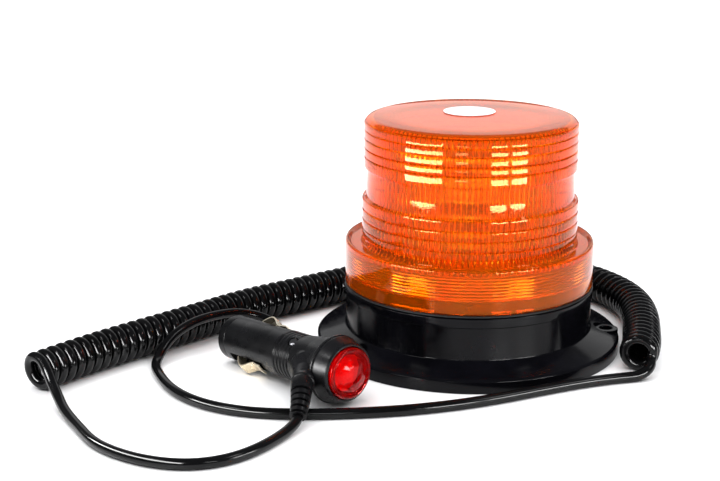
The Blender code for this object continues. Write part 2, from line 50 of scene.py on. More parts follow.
CUT_SHARP = 30.0               # sharp-edge angle of pieces made with Booleans

# ---- driving dimensions, the same as the frame's solids ---------------------
FLANGE_R = 75.0
WALL_R = 60.9
COLLAR_R = 61.0
COLLAR_THICK = 2.8
DOME_R = 51.8
TOTAL_H = 115.0
FLANGE_H = 5.8                 # height of the flange's upright rim
SKIRT_TOP_Z = 10.9             # where the sloping skirt meets the wall
DECK_Z = 31.4
DECK_THICK = 2.6
WALL_THICK = 2.6
SPIGOT_R = COLLAR_R - 3.8      # upright ring that the lens turns on
SPIGOT_TOP_Z = 41.0
GROOVE_R = SPIGOT_R - 2.0      # bottom of the ring's groove for the lens lugs
GROOVE_LOW_Z = 36.2
GROOVE_HIGH_Z = 39.2
COLLAR_TOP_Z = 54.4
COLLAR_BOTTOM_Z = 32.9
BOSS_R = 68.8                  # bosses' distance from the axis
BOSS_OD = 12.0
BOSS_HOLE_D = 6.2
BOSS_TOP_Z = 8.6
BOSS_AZIMUTHS = (0.0, 109.5, 219.0)
LABEL_AT = Vector((-1.0, 8.0, 0.0))

CORD_D = 4.8
TURN_R = 7.0                   # coil's radius, to the middle of the cable
COIL_Z = 9.5
TURNS = 88
COIL_START_ANGLE = 25.0        # where round the coil the first turn starts
COIL_END_ANGLE = 60.0
EXIT_AZIMUTH = 208.0
EXIT_Z = 3.7
RELIEF_START_R = 55.5
RELIEF_END_R = 84.0

PLUG_TIP = Vector((-110.4, -37.2, 11.6))
PLUG_NOSE = Vector((-51.8, -94.8, 16.2))
BARREL_R = 10.7
HEAD_R = 15.6
HEAD_START = 73.5
HEAD_END = 74.6
BEZEL_END = 82.6
BUTTON_R = 11.6
BUTTON_START = 78.2
BUTTON_END = 87.0
BORE_R = 8.2
SCREW_S = 50.5
SCREW_ANGLE = 120.0
SCREW_FLOOR = 9.6
CONTACT_ANGLES = {"front": 222.0, "back": 42.0}

BEACON_LEAD = [
    (-74.7, -39.7, 3.7), (-77.6, -41.2, 3.6), (-84.6, -41.0, 2.8), (-90.0, -35.2, 2.5), (-91.9, -27.0, 2.5),
    (-92.3, -18.5, 2.5), (-92.5, -10.5, 2.9), (-94.3, -3.2, 4.4), (-98.8, 1.2, 6.9), (-104.8, 2.0, 9.3),
    (-111.8, -0.8, 11.8), (-117.7, -5.6, 13.5), (-123.3, -11.8, 14.5), (-129.0, -18.8, 14.9),
    (-134.4, -25.2, 14.3), (-139.2, -31.7, 12.7), (-143.0, -37.0, 10.2), (-145.6, -41.8, 7.0),
    (-147.2, -47.0, 4.0), (-147.0, -54.0, 2.6), (-143.6, -64.5, 2.5), (-138.2, -76.0, 2.5),
    (-131.2, -87.0, 2.5), (-122.7, -96.0, 2.5), (-113.6, -102.5, 2.5), (-103.4, -107.0, 2.5),
    (-92.6, -109.6, 2.5), (-81.6, -110.4, 2.5), (-60.0, -109.0, 2.5), (-37.2, -105.0, 2.5),
    (-15.6, -98.6, 2.5), (6.3, -89.2, 2.5), (28.9, -76.4, 2.5), (52.3, -63.0, 2.5), (74.0, -53.8, 2.5),
    (80.0, -51.8, 2.9), (84.0, -49.6, 4.5), (86.0, -46.2, 6.5), (86.7, -42.7, 7.8),
]
COIL_ROUTE = [
    (80.9, -40.2), (83.6, -26.0), (85.4, -10.0), (87.0, 8.0), (87.2, 24.0), (84.6, 42.0), (77.4, 60.0),
    (66.0, 76.5), (50.0, 90.0), (30.0, 99.0), (8.0, 101.5), (-14.0, 96.5), (-36.0, 85.0), (-56.0, 71.0),
    (-74.4, 55.4), (-89.2, 41.5), (-112.9, 19.4), (-134.4, -6.6), (-154.6, -31.2), (-174.6, -56.2),
    (-194.6, -85.2),
]
PLUG_LEAD = [
    (-193.6, -86.5, 13.9), (-194.4, -88.7, 14.0), (-193.6, -91.6, 13.6), (-190.8, -94.2, 12.2),
    (-187.4, -96.9, 9.9), (-184.0, -100.3, 7.5), (-180.3, -105.6, 5.3), (-174.8, -115.0, 3.5),
    (-169.5, -123.4, 2.7), (-162.9, -133.6, 2.5),
    (-153.2, -147.6, 2.5), (-140.0, -158.6, 2.5), (-123.8, -165.6, 2.5), (-107.6, -166.2, 2.5),
    (-93.0, -158.6, 2.5), (-82.6, -145.6, 2.5), (-76.6, -134.2, 2.6), (-73.0, -126.2, 3.5),
    (-71.6, -120.7, 4.9),
]
# Where the cable leaves the coil's left end, over the last turn and down beside it,
# in place of the plug lead's first points.
LEAD_POINTS_REPLACED = 7
COIL_OVER = [
    (-194.8, -85.5, 16.5), (-192.1, -87.6, 15.7), (-190.2, -89.8, 14.3), (-187.9, -92.9, 12.2),
    (-186.1, -95.5, 10.2), (-184.3, -98.3, 8.3), (-181.9, -102.1, 6.5), (-179.2, -106.8, 4.9),
]
BOOT_ROUTE = [
    (-71.3, -104.4, 13.8), (-71.3, -106.2, 13.5), (-71.2, -110.2, 11.6), (-71.2, -115.2, 8.3),
    (-71.5, -120.0, 5.1),
]


def linked(name, data):
    """New object in the scene for the given data."""
    item = bpy.data.objects.new(name, data)
    bpy.context.scene.collection.objects.link(item)
    return item


# ------------------------------------------------------------------- camera
def make_camera():
    camera = linked("camera", bpy.data.cameras.new("camera"))
    camera.data.sensor_width = 36.0
    camera.data.lens = 74.27
    camera.location = (0.0, -0.7098, 0.2453)
    camera.rotation_euler = (radians(74.735), 0.0, radians(4.348))
    bpy.context.scene.camera = camera


# ---------------------------------------------------------------- materials
ACRYLIC_IOR = 1.49


def finish_of(name, dark, light, roughness, spread=0.06, grain=900.0, bump=0.02, cloud=60.0, **sockets):
    """Moulded or worked surface: clouded between two tones, with uneven gloss and a fine grain."""
    made = bpy.data.materials.new(name)
    made.use_nodes = True
    tree = made.node_tree
    shader = tree.nodes["Principled BSDF"]
    place = tree.nodes.new("ShaderNodeTexCoord")

    def noise(scale, detail):
        node = tree.nodes.new("ShaderNodeTexNoise")
        node.inputs["Scale"].default_value = scale
        node.inputs["Detail"].default_value = detail
        tree.links.new(place.outputs["Object"], node.inputs["Vector"])
        return node

    clouds = noise(cloud, 4.0)
    ramp = tree.nodes.new("ShaderNodeValToRGB")
    ramp.color_ramp.elements[0].position = 0.35
    ramp.color_ramp.elements[0].color = (*dark, 1.0)
    ramp.color_ramp.elements[1].position = 0.65
    ramp.color_ramp.elements[1].color = (*light, 1.0)
    tree.links.new(clouds.outputs["Fac"], ramp.inputs["Fac"])
    tree.links.new(ramp.outputs["Color"], shader.inputs["Base Color"])

    gloss = noise(cloud * 3.0, 6.0)
    spread_to = tree.nodes.new("ShaderNodeMapRange")
    spread_to.inputs["From Min"].default_value = 0.3
    spread_to.inputs["From Max"].default_value = 0.7
    spread_to.inputs["To Min"].default_value = max(0.0, roughness - spread)
    spread_to.inputs["To Max"].default_value = roughness + spread
    tree.links.new(gloss.outputs["Fac"], spread_to.inputs["Value"])
    tree.links.new(spread_to.outputs["Result"], shader.inputs["Roughness"])

    fine = noise(grain, 3.0)
    relief = tree.nodes.new("ShaderNodeBump")
    relief.inputs["Strength"].default_value = bump
    relief.inputs["Distance"].default_value = 0.2 * MM
    tree.links.new(fine.outputs["Fac"], relief.inputs["Height"])
    tree.links.new(relief.outputs["Normal"], shader.inputs["Normal"])
    for socket, value in sockets.items():
        shader.inputs[socket.replace("_", " ")].default_value = value
    return made


def make_finishes():
    dull = {"Specular_IOR_Level": 0.2}
    dullest = {"Specular_IOR_Level": 0.12}
    return {
        "base_plastic": finish_of("base_plastic", (0.0015, 0.0015, 0.0022), (0.003, 0.003, 0.0045),
                                  0.14, 0.04, **dullest),
        "plug_plastic": finish_of("plug_plastic", (0.0025, 0.0025, 0.003), (0.006, 0.006, 0.007),
                                  0.3, 0.06, bump=0.03, **dull),
        "amber_lens": finish_of("amber_lens", (1.0, 0.2, 0.002), (1.0, 0.26, 0.004), 0.03, 0.02,
                                bump=0.0, IOR=ACRYLIC_IOR, Transmission_Weight=0.87,
                                Specular_Tint=(1.0, 0.4, 0.15, 1.0)),
        "red_lens": finish_of("red_lens", (0.7, 0.002, 0.003), (0.85, 0.005, 0.005), 0.06, 0.03,
                              bump=0.0, IOR=ACRYLIC_IOR, Transmission_Weight=0.86,
                              Specular_Tint=(0.8, 0.15, 0.15, 1.0)),
        "lamp_glow": finish_of("lamp_glow", (1.0, 0.02, 0.015), (1.0, 0.16, 0.1), 0.2, 0.05,
                               cloud=700.0, Emission_Color=(1.0, 0.02, 0.01, 1.0),
                               Emission_Strength=0.2),
        "rubber": finish_of("rubber", (0.006, 0.006, 0.006), (0.014, 0.014, 0.014), 0.6,
                            bump=0.15, **dull),
        "cord_jacket": finish_of("cord_jacket", (0.0012, 0.0012, 0.0014), (0.003, 0.003, 0.0035),
                                 0.15, 0.05, cloud=40.0, **dull),
        "zinc_steel": finish_of("zinc_steel", (0.45, 0.45, 0.47), (0.7, 0.7, 0.7), 0.3, 0.1,
                                Metallic=1.0),
        # painted shade: near-black steel for the housing screw, darkened to stand in for the shade in its
        # recess
        "shade_darkened_steel": finish_of("shade_darkened_steel", (0.05, 0.05, 0.055), (0.09, 0.09, 0.095), 0.4, 0.1,
                                Metallic=1.0),
        "ferrite": finish_of("ferrite", (0.04, 0.04, 0.045), (0.08, 0.08, 0.085), 0.6, 0.1, bump=0.2),
        "aluminium": finish_of("aluminium", (0.6, 0.6, 0.62), (0.8, 0.8, 0.82), 0.35, 0.08,
                               Metallic=1.0),
        "circuit_board": finish_of("circuit_board", (0.6, 0.6, 0.55), (0.8, 0.8, 0.75), 0.4, 0.1,
                                   cloud=400.0),
        "white_plastic": finish_of("white_plastic", (0.7, 0.7, 0.68), (0.85, 0.85, 0.82), 0.4),
        "component_case": finish_of("component_case", (0.02, 0.02, 0.03), (0.05, 0.05, 0.07), 0.4),
        "nickel": finish_of("nickel", (0.72, 0.62, 0.45), (0.92, 0.84, 0.68), 0.28, 0.08,
                            Metallic=0.7),
        "fuse_glass": finish_of("fuse_glass", (0.85, 0.88, 0.9), (0.95, 0.96, 0.98), 0.05, 0.02,
                                Transmission_Weight=1.0),
        "label_paper": finish_of("label_paper", (0.8, 0.8, 0.8), (0.9, 0.9, 0.9), 0.5, bump=0.1),
    }


def make_led_finish():
    return finish_of("led_phosphor", (0.9, 0.55, 0.02), (1.0, 0.75, 0.06), 0.25, 0.05, cloud=900.0)


# ------------------------------------------------------------- mesh helpers
def mesh_object(name, points, faces):
    """Plain mesh object from points in metres."""
    mesh = bpy.data.meshes.new(name)
    mesh.from_pydata([tuple(p) for p in points], [], faces)
    return linked(name, mesh)


def shade(item, sharp):
    """Smooth shading but for the edges that turn by more than sharp degrees."""
    item.data.shade_smooth()
    item.data.set_sharp_from_angle(angle=radians(sharp))


def piece(name, points, faces, finish, slot=None, body="beacon", stands_for=(), sharp=35.0):
    """Mesh object from points in metres, shaded smooth but for its sharp edges, riding on a body."""
    item = mesh_object(name, points, faces)
    item.data.materials.append(finish)
    shade(item, sharp)
    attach(item, body)
    if stands_for:
        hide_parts(*stands_for)
    return item


def rounded(corners, steps=4):
    """Outline through (radius, height, fillet) corners; a fillet of 0 keeps the corner.

    An outline that starts and ends on the axis is open, any other runs round on itself.
    """
    count = len(corners)
    is_open = corners[0][0] == 0 and corners[-1][0] == 0
    outline = []
    for i, (r, z, fillet) in enumerate(corners):
        here = Vector((r, z))
        if fillet == 0 or (is_open and i in (0, count - 1)):
            outline.append((r, z))
            continue
        before = Vector(corners[i - 1][:2]) - here
        after = Vector(corners[(i + 1) % count][:2]) - here
        shorter = min(before.length, after.length)
        reach = min(fillet / tan(before.angle(after) / 2), FILLET_SHARE * shorter)
        start = here + before.normalized() * reach
        end = here + after.normalized() * reach
        for k in range(steps + 1):
            t = k / steps
            point = start * (1 - t) ** 2 + here * 2 * t * (1 - t) + end * t ** 2
            outline.append((point.x, point.y))
    return outline


def turn(outline, steps, wave=None):
    """Points (mm) and faces of an outline turned about Z, outer side running downwards.

    wave(i, angle) adds to the radius of outline point i.
    """
    rings = []
    points = []
    for i, (r, z) in enumerate(outline):
        if r == 0:
            rings.append([len(points)] * steps)
            points.append((0.0, 0.0, z))
            continue
        rings.append(list(range(len(points), len(points) + steps)))
        for k in range(steps):
            angle = 2 * pi * k / steps
            radius = r + (wave(i, angle) if wave else 0.0)
            points.append((radius * cos(angle), radius * sin(angle), z))
    is_open = outline[0][0] == 0 and outline[-1][0] == 0
    faces = []
    for i in range(len(rings) - (1 if is_open else 0)):
        upper, lower = rings[i], rings[(i + 1) % len(rings)]
        for k in range(steps):
            m = (k + 1) % steps
            corners = [upper[k], lower[k], lower[m], upper[m]]
            faces.append(tuple(dict.fromkeys(corners)))
    return np.array(points), faces


def moved(points, matrix):
    """Points in mm, moved by a matrix in mm, in metres."""
    turned = np.array(matrix.to_3x3())
    return (np.asarray(points) @ turned.T + np.array(matrix.translation)) * MM


def joined(parts):
    """Points and faces of several (points, faces) parts as one."""
    all_points = []
    all_faces = []
    for points, faces in parts:
        shift = len(all_points)
        all_points += list(points)
        all_faces += [tuple(v + shift for v in face) for face in faces]
    return all_points, all_faces


def polar(radius, azimuth, z=0.0):
    """Point at a radius and an azimuth in degrees."""
    return Vector((radius * cos(radians(azimuth)), radius * sin(radians(azimuth)), z))


def spin(angle, axis="Z"):
    """Turn by an angle in degrees."""
    return Matrix.Rotation(radians(angle), 4, axis)


def smooth_curve(points, spacing):
    """Evenly spaced points on the natural cubic spline through the given points."""
    knots = np.array(points, float)
    steps = np.linalg.norm(np.diff(knots, axis=0), axis=1)
    count = len(knots)
    system = np.eye(count)
    target = np.zeros_like(knots)
    for i in range(1, count - 1):
        system[i, i - 1:i + 2] = steps[i - 1], 2 * (steps[i - 1] + steps[i]), steps[i]
        target[i] = 6 * ((knots[i + 1] - knots[i]) / steps[i] - (knots[i] - knots[i - 1]) / steps[i - 1])
    bend = np.linalg.solve(system, target)
    dense = []
    for i, step in enumerate(steps):
        for u in np.linspace(0.0, step, SPLINE_SAMPLES, endpoint=(i == count - 2)):
            v = step - u
            dense.append((bend[i] * v ** 3 + bend[i + 1] * u ** 3) / (6 * step)
                         + (knots[i] / step - bend[i] * step / 6) * v
                         + (knots[i + 1] / step - bend[i + 1] * step / 6) * u)
    dense = np.array(dense)
    along = np.concatenate(([0.0], np.cumsum(np.linalg.norm(np.diff(dense, axis=0), axis=1))))
    even = np.linspace(0.0, along[-1], max(3, round(along[-1] / spacing) + 1))
    return np.stack([np.interp(even, along, dense[:, k]) for k in range(3)], axis=1)


def directions(path):
    """Unit vector along the path at each of its points."""
    tangents = np.gradient(path, axis=0)
    return tangents / np.linalg.norm(tangents, axis=1)[:, None]


def sweep(path, section):
    """Closed body swept along a path in mm; section(i) gives the (side, up) points at path point i."""
    tangents = directions(path)
    side = np.cross(tangents[0], UP)
    points = []
    for i, (at, tangent) in enumerate(zip(path, tangents)):
        side = side - tangent * (side @ tangent)
        side /= np.linalg.norm(side)
        up = np.cross(side, tangent)
        for x, y in section(i):
            points.append(at + side * x + up * y)
    count = len(section(0))
    faces = []
    for i in range(len(path) - 1):
        for k in range(count):
            m = (k + 1) % count
            faces.append((i * count + k, i * count + m, (i + 1) * count + m, (i + 1) * count + k))
    last = (len(path) - 1) * count
    faces.append(tuple(reversed(range(count))))
    faces.append(tuple(range(last, last + count)))
    return np.array(points), faces


def ring_section(radius, sides):
    """Circle as (side, up) points."""
    return [(radius * cos(2 * pi * k / sides), radius * sin(2 * pi * k / sides)) for k in range(sides)]


# --------------------------------------------------------------------- cord
def coil_path():
    """Left-handed turns round the coil's own centre line, from its right end to its left end."""
    centre_spacing = 0.5
    steps_per_turn = 24
    centre = smooth_curve([(x, y, COIL_Z) for x, y in COIL_ROUTE], centre_spacing)
    length = np.linalg.norm(np.diff(centre, axis=0), axis=1).sum()
    along = np.linspace(0.0, length, len(centre))
    tangents = directions(centre)
    sweep_angle = 360.0 * TURNS + COIL_END_ANGLE - COIL_START_ANGLE
    count = round(sweep_angle / 360.0 * steps_per_turn)
    points = []
    for k in range(count + 1):
        t = k / count
        at = np.array([np.interp(t * length, along, centre[:, j]) for j in range(3)])
        tangent = np.array([np.interp(t * length, along, tangents[:, j]) for j in range(3)])
        side = np.cross(tangent, UP)
        side /= np.linalg.norm(side)
        angle = radians(COIL_START_ANGLE + t * sweep_angle)
        points.append(at + TURN_R * (side * cos(angle) + UP * sin(angle)))
    return points


def make_cord(finishes):
    """The whole cable, from inside the strain relief to inside the plug's boot."""
    tucked_in, spacing, sides = 6.0, 1.7, 14
    start = [tuple(polar(RELIEF_END_R - tucked_in, EXIT_AZIMUTH, EXIT_Z))]
    plug_end = PLUG_LEAD[LEAD_POINTS_REPLACED:] + [BOOT_ROUTE[-2]]
    path = smooth_curve(start + BEACON_LEAD + coil_path() + COIL_OVER + plug_end, spacing)
    section = ring_section(CORD_D / 2, sides)
    points, faces = sweep(path, lambda i: section)
    cord = piece("curly_cord", points * MM, faces, finishes["cord_jacket"], "cord_jacket",
                 stands_for=("cord_beacon_lead", "cord_coil", "cord_plug_lead"))
    return cord, path


# --------------------------------------------------------------- amber dome
FLUTES = 120                   # upright flutes inside the dome
FLUTE_STEPS = 5                # facets of each flute
FLUTE_DEPTH = 1.3


def ribs(edges, groove_r, crest_r, steps=9):
    """Ribs with nearly flat faces and rounded edges, one under another between the heights in edges."""
    flatness = 10.0
    outline = []
    for top, bottom in zip(edges, edges[1:]):
        for k in range(steps):
            t = (1.0 - cos(pi * k / steps)) / 2
            fullness = (1.0 - abs(2 * t - 1) ** flatness) ** 0.5
            outline.append((groove_r + (crest_r - groove_r) * fullness, top + (bottom - top) * t))
    return outline


def make_dome(finishes):
    """Ribbed dome and collar in one moulding, fluted inside, turned from its outline."""
    collar_in = COLLAR_R - COLLAR_THICK
    crown_r, crown_drop = 47.6, 0.35

    # outside, from the middle of the top down to the collar's lower edge
    outer = [(0.0, TOTAL_H)]
    outer += [(r, TOTAL_H - crown_drop * (r / crown_r) ** 2) for r in (12.0, 24.0, 36.0, crown_r)]
    outer += [(49.2, 114.35), (50.4, 113.7), (51.1, 112.9)]
    outer += ribs([112.3, 108.6, 104.4, 99.8, 95.6, 89.8], DOME_R - 1.5, DOME_R)
    outer += [(DOME_R - 1.1, 89.7), (DOME_R - 1.3, 88.9), (DOME_R - 1.2, 82.0), (DOME_R - 1.0, 76.0)]
    outer += ribs([75.3, 69.9, 65.0, 60.1, 55.9], DOME_R - 0.4, DOME_R + 1.0)
    outer += [(DOME_R + 0.2, 55.8), (DOME_R + 0.9, 53.6), (DOME_R + 1.6, 52.9), (collar_in, 52.8)]
    outer += [(COLLAR_R - 2.3, 53.2), (COLLAR_R - 1.8, 54.1), (COLLAR_R - 1.2, COLLAR_TOP_Z),
              (COLLAR_R - 0.6, 54.3), (COLLAR_R - 0.1, 53.7), (COLLAR_R, 52.9), (COLLAR_R, 43.0),
              (COLLAR_R, COLLAR_BOTTOM_Z + 0.6), (COLLAR_R - 0.5, COLLAR_BOTTOM_Z)]

    # inside, from the collar's lower edge, past its small steps, up to the top
    step_count, steps_z, step_pitch = 8, 38.6, 1.5
    ledge_z = 50.8
    inner = [(collar_in, COLLAR_BOTTOM_Z), (collar_in, steps_z)]
    for k in range(step_count):
        low = steps_z + k * step_pitch
        inner += [(collar_in - 0.8, low + 0.25), (collar_in - 0.1, low + 1.4)]
    inner += [(collar_in, ledge_z), (DOME_R - 1.2, ledge_z)]
    fluted_from = len(outer) + len(inner)
    inner += [(DOME_R - 1.9, 54.0), (DOME_R - 2.0, 62.0), (DOME_R - 2.1, 68.0), (DOME_R - 2.2, 75.0),
              (DOME_R - 3.2, 76.2), (DOME_R - 3.2, 88.6), (DOME_R - 2.6, 90.0), (DOME_R - 2.6, 98.0),
              (DOME_R - 2.6, 104.0), (DOME_R - 2.8, 110.4)]
    fluted_to = len(outer) + len(inner)
    inner += [(DOME_R - 4.6, 112.0), (30.0, 112.5), (0.0, 112.6)]

    def flute(i, angle):
        if not fluted_from <= i < fluted_to:
            return 0.0
        return -FLUTE_DEPTH * abs(sin(angle * FLUTES / 2))

    points, faces = turn(outer + inner, FLUTES * FLUTE_STEPS, flute)
    piece("amber_dome", points * MM, faces, finishes["amber_lens"], "amber_lens", "lens",
          ("dome_lens",))


def make_sticker(finishes):
    """Round paper sticker with a thin line near its rim."""
    top = TOTAL_H + 0.6
    rim_r, thick, bevel = 12.7, 0.4, 0.5
    line_out, line_in, line_lift = 11.0, 10.5, 0.05
    at = Matrix.Translation(LABEL_AT)
    disc = [(0.0, top), (rim_r - bevel, top), (rim_r, top - 0.1), (rim_r, top - thick), (0.0, top - thick)]
    points, faces = turn(disc, 96)
    piece("round_sticker", moved(points, at), faces, finishes["label_paper"], "label_paper", "lens",
          ("top_label",))
    ring_ink = finish_of("sticker_ring", (0.3, 0.3, 0.32), (0.4, 0.4, 0.42), 0.5)
    line = [(line_out, top + line_lift), (line_out, top - line_lift),
            (line_in, top - line_lift), (line_in, top + line_lift)]
    points, faces = turn(line, 96)
    piece("sticker_line", moved(points, at), faces, ring_ink, None, "lens")


# --------------------------------------------------------------- black base
def boolean(item, tool, operation):
    """Apply a Boolean of a helper mesh, which is then removed."""
    cut = item.modifiers.new(operation.lower(), "BOOLEAN")
    cut.operation = operation
    cut.solver = "EXACT"
    cut.object = tool
    bpy.context.view_layer.update()
    graph = bpy.context.evaluated_depsgraph_get()
    made = bpy.data.meshes.new_from_object(item.evaluated_get(graph))
    item.modifiers.clear()
    item.data = made
    bpy.data.objects.remove(tool)


def helper(name, parts):
    """Mesh object joined from (points in metres, faces) parts, for a Boolean."""
    return mesh_object(name, *joined(parts))


def make_base(finishes):
    """Base moulding turned from its outline, with three screw bosses on the flange."""
    inner_r = WALL_R - WALL_THICK
    rim_in = FLANGE_R - WALL_THICK
    spigot_in = GROOVE_R - WALL_THICK
    ceiling_z = DECK_Z - DECK_THICK
    wire_hole_r = 9.0
    corners = [
        (SPIGOT_R, SPIGOT_TOP_Z, 0.4), (SPIGOT_R, GROOVE_HIGH_Z, 0.1), (GROOVE_R, GROOVE_HIGH_Z, 0.1),
        (GROOVE_R, GROOVE_LOW_Z, 0.1), (SPIGOT_R, GROOVE_LOW_Z, 0.1), (SPIGOT_R, DECK_Z, 0.1),
        (WALL_R, DECK_Z, 0.4), (WALL_R + 0.4, DECK_Z - 0.4, 0.2), (WALL_R + 0.4, 26.9, 0.15),
        (WALL_R - 0.3, 26.5, 0.1), (WALL_R, SKIRT_TOP_Z, 0.8),
        (FLANGE_R - 1.1, FLANGE_H + 0.9, 0.5), (FLANGE_R, FLANGE_H, 0.5), (FLANGE_R, 0.0, 0.3),
        (rim_in, 0.0, 0.3), (rim_in, 4.4, 0.5), (WALL_R, 8.1, 0.5), (WALL_R, 0.0, 0.3),
        (inner_r, 0.0, 0.3), (inner_r, ceiling_z, 0.6), (wire_hole_r, ceiling_z, 0.3),
        (wire_hole_r, DECK_Z, 0.3), (spigot_in, DECK_Z, 0.5), (spigot_in, SPIGOT_TOP_Z, 0.4),
    ]
    points, faces = turn(rounded(corners, 3), 180)
    base = piece("base_housing", points * MM, faces, finishes["base_plastic"], "base_plastic", "beacon",
                 ("base_shell",))

    boss_r, hole_r = BOSS_OD / 2, BOSS_HOLE_D / 2
    spot_r, chamfer = boss_r + 0.3, 0.5
    spot_top, spot_bottom = BOSS_TOP_Z + 8.0, BOSS_TOP_Z - 0.4
    boss_bottom, hole_top, hole_bottom = 1.0, 12.0, -1.0
    spot_outline = [(0.0, spot_top), (spot_r, spot_top), (spot_r, spot_bottom), (0.0, spot_bottom)]
    boss_outline = rounded([(0.0, BOSS_TOP_Z, 0), (boss_r, BOSS_TOP_Z, 0.4),
                            (boss_r, boss_bottom, 0), (0.0, boss_bottom, 0)])
    hole_outline = [(0.0, hole_top), (hole_r + chamfer, hole_top), (hole_r + chamfer, BOSS_TOP_Z),
                    (hole_r, BOSS_TOP_Z - chamfer), (hole_r, hole_bottom), (0.0, hole_bottom)]
    for name, outline, operation in (("spot_faces", spot_outline, "DIFFERENCE"),
                                     ("bosses", boss_outline, "UNION"),
                                     ("holes", hole_outline, "DIFFERENCE")):
        points, faces = turn(outline, 48)
        tools = [(moved(points, Matrix.Translation(polar(BOSS_R, azimuth))), faces)
                 for azimuth in BOSS_AZIMUTHS]
        boolean(base, helper(name, tools), operation)
    shade(base, CUT_SHARP)


def make_gasket(finishes):
    """Rubber ring between the collar and the deck."""
    outer_r, inner_r = COLLAR_R + 0.3, 57.8
    top, bottom = 32.6, 31.7
    corners = [(outer_r, top, 0.35), (outer_r, bottom, 0.35), (inner_r, bottom, 0.1), (inner_r, top, 0.1)]
    points, faces = turn(rounded(corners), 144)
    piece("gasket_ring", points * MM, faces, finishes["rubber"], "rubber", "beacon", ("lens_gasket",))


# --------------------------------------------------------------------- plug
def plug_matrix():
    """Place of the plug in mm: local Z runs along it from its tip, local Y is up."""
    along = (PLUG_NOSE - PLUG_TIP).normalized()
    across = along.cross(Vector((0.0, 0.0, -1.0))).normalized()
    upward = along.cross(across)
    if upward.z < 0:
        across, upward = -across, -upward
    axes = Matrix((across, upward, along)).transposed()
    return Matrix.Translation(PLUG_TIP) @ axes.to_4x4()


def block_mesh(x, y, z):
    """Box between the (low, high) pairs of x, y and z."""
    points = [(i, j, k) for i in x for j in y for k in z]
    faces = [(0, 1, 3, 2), (4, 6, 7, 5), (0, 4, 5, 1), (2, 3, 7, 6), (0, 2, 6, 4), (1, 5, 7, 3)]
    return np.array(points, float), faces


def plug_arm(at):
    """Side arm that takes the cord, cut off square at the head's rim."""
    root = Vector((-5.0, -0.5, 62.5))
    run = at.inverted() @ Vector(BOOT_ROUTE[0]) - root
    length = run.length - 0.6
    outline = rounded([(0.0, length, 0), (4.9, length, 0.4), (5.4, length - 0.8, 0.4),
                       (5.4, length - 3.0, 2.0), (6.6, length * 0.5, 4.0), (9.4, length * 0.2, 2.0),
                       (9.6, 0.0, 0), (0.0, 0.0, 0)])
    points, faces = turn(outline, 64)
    arm_at = at @ Matrix.Translation(root) @ run.to_track_quat("Z", "Y").to_matrix().to_4x4()
    arm = helper("arm", [(moved(points, arm_at), faces)])
    trim_r, trim_start, trim_end = HEAD_R + 0.3, HEAD_START + 0.4, 92.0
    trim = [(0.0, trim_end), (trim_r, trim_end), (trim_r, trim_start), (0.0, trim_start)]
    points, faces = turn(trim, 96)
    boolean(arm, helper("trim", [(moved(points, at), faces)]), "DIFFERENCE")
    return arm


def make_plug_housing(finishes, at):
    """Barrel with fine grooves and a flared head, joined with the side arm, then bored and cut."""
    neck_r, groove_floor_r = 11.2, 10.6
    groove_count, first_groove, groove_pitch = 5, 52.2, 2.4
    barrel_start = 3.4
    flare_in = 12.2
    corners = [(HEAD_R - 0.3, HEAD_END, 0.2), (HEAD_R, HEAD_END - 0.3, 0.2), (HEAD_R, HEAD_START, 0.4),
               (14.4, HEAD_START - 1.6, 0.8), (12.4, 63.0, 6.0), (11.6, 56.0, 6.0), (11.3, 53.6, 0.3)]
    for k in range(groove_count):
        centre = first_groove - groove_pitch * k
        corners += [(neck_r, centre + 0.7, 0.15), (groove_floor_r, centre + 0.3, 0.1),
                    (groove_floor_r, centre - 0.3, 0.1), (neck_r, centre - 0.7, 0.15)]
    corners += [(neck_r, 40.8, 0.4), (BARREL_R, 32.0, 4.0), (BARREL_R, barrel_start, 0.25),
                (BORE_R, barrel_start, 0.1), (BORE_R, 58.0, 0), (10.2, 62.0, 0),
                (flare_in, 70.0, 0), (flare_in, HEAD_END, 0.2)]
    points, faces = turn(rounded(corners, 3), 96)
    housing = piece("plug_body", moved(points, at), faces, finishes["plug_plastic"], "plug_plastic",
                    "beacon", ("plug_housing",))
    boolean(housing, plug_arm(at), "UNION")

    # clears the arm's root out of the bore again
    clear_start, clear_end, clear_r = 50.0, 82.0, 12.15
    bore = [(0.0, clear_end), (clear_r, clear_end), (clear_r, 71.0), (9.0, 68.0),
            (BORE_R, clear_start), (0.0, clear_start)]
    points, faces = turn(bore, 96)
    boolean(housing, helper("bore", [(moved(points, at), faces)]), "DIFFERENCE")

    # windows for the side contacts and the recess of the housing screw
    window, faces = block_mesh((7.2, 13.2), (-3.7, 3.7), (7.0, 31.0))
    cuts = [(moved(window, at @ spin(angle)), faces) for angle in CONTACT_ANGLES.values()]
    recess_r, recess_depth = 2.7, 6.0
    recess = [(0.0, recess_depth), (recess_r, recess_depth), (recess_r, 0.0), (0.0, 0.0)]
    points, faces = turn(recess, 32)
    screw_place = Matrix.Translation(polar(SCREW_FLOOR, SCREW_ANGLE, SCREW_S))
    recess_at = at @ screw_place @ spin(SCREW_ANGLE) @ spin(90.0, "Y")
    cuts.append((moved(points, recess_at), faces))
    boolean(housing, helper("windows", cuts), "DIFFERENCE")
    shade(housing, CUT_SHARP)
    return housing


